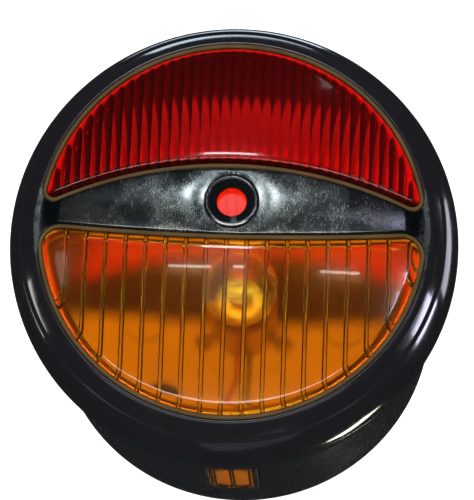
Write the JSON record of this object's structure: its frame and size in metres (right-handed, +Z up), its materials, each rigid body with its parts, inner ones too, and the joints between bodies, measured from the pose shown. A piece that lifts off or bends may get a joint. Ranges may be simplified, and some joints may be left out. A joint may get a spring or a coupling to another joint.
{
  "type": "tail light",
  "caption": "Round tail and stop lamp with a red and an amber ribbed lens, a plated crossbar, a black bayonet bezel and a deep black drum.",
  "frame": {"origin": "centre of the mounting face, the back of the rubber mounting pad", "axes": "+Y along the lamp's axis out of the mounting face, so the lenses face -Y; +Z up, with the red lens above the amber lens; +X to the right seen from the front"},
  "size_m": [0.102, 0.1105, 0.102],
  "materials": {
    "black_enamel": "gloss black stove enamel",
    "gloss_enamel": "deep gloss black enamel",
    "worn_chrome": "worn plating with fine scratches",
    "dark_nickel": "dark polished nickel",
    "red_glass": "ribbed transparent red glass",
    "amber_glass": "ribbed transparent amber glass",
    "yellow_glass": "ribbed golden glass",
    "clear_glass": "clear bulb glass",
    "black_glass": "vitrite insulator",
    "gasket_tan": "aged tan gasket",
    "rubber": "matt black rubber",
    "spring_steel": "spring steel",
    "zinc_steel": "zinc plated",
    "brass": "aged brass",
    "solder": "soft solder and nickel wire",
    "filament": "tungsten coil",
    "phenolic": "brown phenolic",
    "lead_red": "insulated lead",
    "lead_blue": "insulated lead",
    "lead_black": "insulated lead",
    "enamel_white": "white enamel inside the drum"
  },
  "bodies": {
    "housing": {"drum": "black_enamel", "bayonet_lugs": "black_enamel", "plate_window": "yellow_glass", "plate_gasket": "rubber", "plate_clip": "spring_steel", "mounting_studs": "zinc_steel", "mounting_pad": "rubber", "cable_grommet": "rubber", "socket_flange": "enamel_white", "socket_shell": "brass", "socket_screws": "zinc_steel", "socket_insulator": "phenolic", "contact_eyelets": "brass", "contact_springs": "spring_steel", "terminal_block": "phenolic", "terminal_screws": "brass", "earth_tag": "brass", "tail_lead": "lead_red", "stop_lead": "lead_blue", "earth_lead": "lead_black"},
    "door": {"bezel": "gloss_enamel", "crossbar": "worn_chrome", "eyelet": "dark_nickel", "red_lens": "red_glass", "amber_lens": "amber_glass", "red_gasket": "gasket_tan", "amber_gasket": "gasket_tan", "lens_retainer": "zinc_steel", "retainer_clips": "spring_steel", "door_tabs": "gloss_enamel", "door_seal": "rubber"},
    "bulb": {"bulb_glass": "clear_glass", "bulb_base": "brass", "bulb_pins": "brass", "bulb_insulator": "black_glass", "bulb_contacts": "solder", "filament_stem": "clear_glass", "filament_supports": "solder", "tail_filament": "filament", "stop_filament": "filament"},
    "contacts": {"contact_plungers": "brass"}
  },
  "joints": [
    {"name": "door_twist", "type": "hinge", "parent": "housing", "child": "door", "pos_m": [0, 0, 0], "axis": [0, -1, 0], "range_deg": [0, 18]},
    {"name": "bulb_push", "type": "slide", "parent": "housing", "child": "bulb", "axis": [0, 1, 0], "range_m": [0, 0.0015], "stiffness_N_per_m": 1500, "springref_m": -0.003},
    {"name": "contact_push", "type": "slide", "parent": "housing", "child": "contacts", "axis": [0, 1, 0], "range_m": [0, 0.0015], "deforming": ["contact_springs"]}
  ],
  "couplings": [
    {"joint": "contact_push", "follows": "bulb_push", "ratio": 1}
  ]
}
